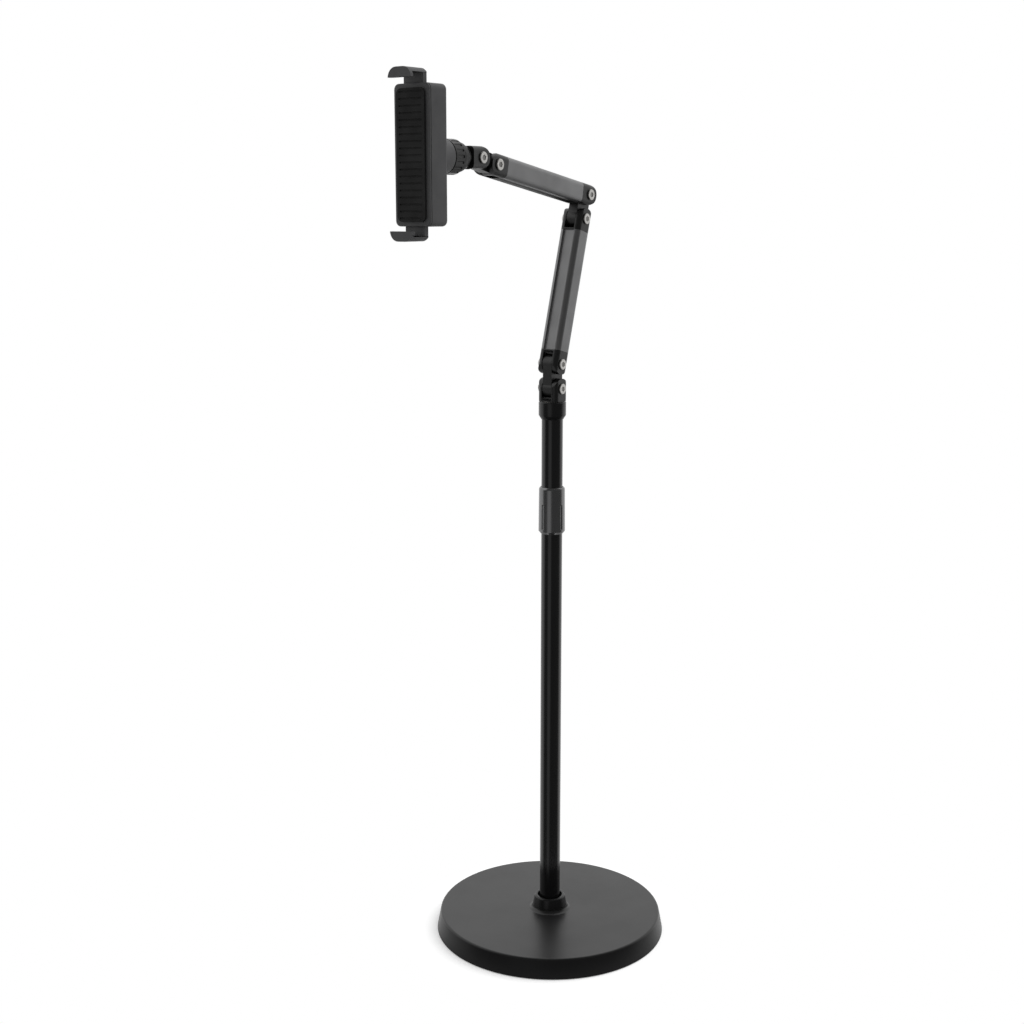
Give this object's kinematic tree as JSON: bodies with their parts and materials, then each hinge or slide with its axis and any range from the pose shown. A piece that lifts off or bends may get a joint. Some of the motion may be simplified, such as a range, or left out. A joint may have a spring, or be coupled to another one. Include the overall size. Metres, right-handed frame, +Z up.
{
  "type": "tablet floor stand",
  "caption": "Floor stand for a tablet: round weighted base, telescopic pole with a twist lock, folding arm with double knuckles, and a sprung holder that tilts and turns.",
  "frame": {"origin": "middle of the base's underside, on the pole's axis", "axes": "+Z up along the pole, -Y the way the holder faces, X along the arm's pivot bolts with their heads on +X"},
  "size_m": [0.236, 0.3341, 0.8572],
  "materials": {
    "base_paint": "satin",
    "black_plastic": "satin",
    "tube_paint": "satin",
    "sleeve_alloy": "satin",
    "holder_plastic": "matte",
    "anodised_arm": "satin",
    "cast_knuckle": "satin",
    "bolt_steel": "satin",
    "tube_steel": "satin",
    "iron": "matte",
    "rubber": "matte",
    "nylon": "satin"
  },
  "bodies": {
    "stand": {"base_pad": "rubber", "counterweight": "iron", "base_cover": "base_paint", "base_hub": "black_plastic", "hub_bolt": "bolt_steel", "hub_washer": "bolt_steel", "foot_plug": "tube_steel", "lower_tube": "tube_paint", "lock_collet": "nylon"},
    "lock_sleeve": {"lock_sleeve": "sleeve_alloy"},
    "mast": {"inner_tube": "tube_steel", "glide_bush": "nylon", "tube_bushes": "nylon", "upper_tube": "tube_paint", "mast_cap": "black_plastic"},
    "swivel": {"swivel_fork": "cast_knuckle", "pan_washer": "nylon", "pan_retainer": "bolt_steel", "pan_screw": "bolt_steel", "swivel_bolt": "bolt_steel", "swivel_nut": "bolt_steel", "swivel_washers": "nylon"},
    "shoulder": {"shoulder_link": "cast_knuckle"},
    "lower_arm": {"lower_beam": "anodised_arm", "lower_foot_fork": "cast_knuckle", "lower_head_fork": "cast_knuckle", "lower_bolts": "bolt_steel", "lower_nuts": "bolt_steel", "lower_washers": "nylon", "lower_set_screws": "bolt_steel"},
    "elbow": {"elbow_link": "cast_knuckle"},
    "upper_arm": {"upper_beam": "anodised_arm", "upper_elbow_fork": "cast_knuckle", "upper_wrist_fork": "cast_knuckle", "upper_bolts": "bolt_steel", "upper_nuts": "bolt_steel", "upper_washers": "nylon", "upper_set_screws": "bolt_steel"},
    "wrist": {"wrist_link": "cast_knuckle"},
    "holder_yoke": {"yoke": "cast_knuckle", "yoke_bolt": "bolt_steel", "yoke_nut": "bolt_steel", "yoke_washers": "nylon", "turn_washer": "nylon", "turn_retainer": "bolt_steel", "turn_screw": "bolt_steel"},
    "holder": {"holder_back": "holder_plastic", "holder_front": "holder_plastic", "holder_pad": "rubber", "holder_screws": "bolt_steel", "guide_rod": "bolt_steel", "top_spring": "bolt_steel", "bottom_spring": "bolt_steel"},
    "clamp_ring": {"clamp_ring": "black_plastic"},
    "upper_jaw": {"top_jaw": "holder_plastic", "top_jaw_pad": "rubber"},
    "lower_jaw": {"bottom_jaw": "holder_plastic", "bottom_jaw_pad": "rubber"}
  },
  "joints": [
    {"name": "lock_twist", "type": "hinge", "parent": "stand", "child": "lock_sleeve", "pos_m": [0, 0, 0.445], "axis": [0, 0, 1], "range_deg": [0, 90]},
    {"name": "height_slide", "type": "slide", "parent": "stand", "child": "mast", "axis": [0, 0, 1], "range_m": [0, 0.25]},
    {"name": "head_pan", "type": "hinge", "parent": "mast", "child": "swivel", "pos_m": [0, 0, 0.555], "axis": [0, 0, 1], "continuous": true},
    {"name": "shoulder_tilt", "type": "hinge", "parent": "swivel", "child": "shoulder", "pos_m": [0, 0, 0.56805], "axis": [1, 0, 0], "range_deg": [-100, 100]},
    {"name": "lower_arm_tilt", "type": "hinge", "parent": "shoulder", "child": "lower_arm", "pos_m": [0, 0, 0.59205], "axis": [-1, 0, 0], "range_deg": [-105, 84]},
    {"name": "elbow_tilt", "type": "hinge", "parent": "lower_arm", "child": "elbow", "pos_m": [0, 0.038, 0.73095], "axis": [1, 0, 0], "range_deg": [-98, 70]},
    {"name": "upper_arm_tilt", "type": "hinge", "parent": "elbow", "child": "upper_arm", "pos_m": [0, 0.04501, 0.7539], "axis": [-1, 0, 0], "range_deg": [-3, 195]},
    {"name": "wrist_tilt", "type": "hinge", "parent": "upper_arm", "child": "wrist", "pos_m": [0, -0.09667, 0.77965], "axis": [1, 0, 0], "range_deg": [-94, 100]},
    {"name": "holder_tilt", "type": "hinge", "parent": "wrist", "child": "holder_yoke", "pos_m": [0, -0.12, 0.78525], "axis": [-1, 0, 0], "range_deg": [-84, 113]},
    {"name": "holder_turn", "type": "hinge", "parent": "holder_yoke", "child": "holder", "pos_m": [0, -0.12, 0.78525], "axis": [0, -1, 0], "continuous": true},
    {"name": "ring_twist", "type": "hinge", "parent": "holder", "child": "clamp_ring", "pos_m": [0, -0.12, 0.78525], "axis": [0, -1, 0], "range_deg": [0, 60]},
    {"name": "top_jaw_slide", "type": "slide", "parent": "holder", "child": "upper_jaw", "axis": [0, 0, 1], "range_m": [0, 0.04], "stiffness_N_per_m": 150, "springref_m": -0.03, "deforming": ["top_spring"]},
    {"name": "bottom_jaw_slide", "type": "slide", "parent": "holder", "child": "lower_jaw", "axis": [0, 0, -1], "range_m": [0, 0.04], "stiffness_N_per_m": 150, "springref_m": -0.03, "deforming": ["bottom_spring"]}
  ]
}
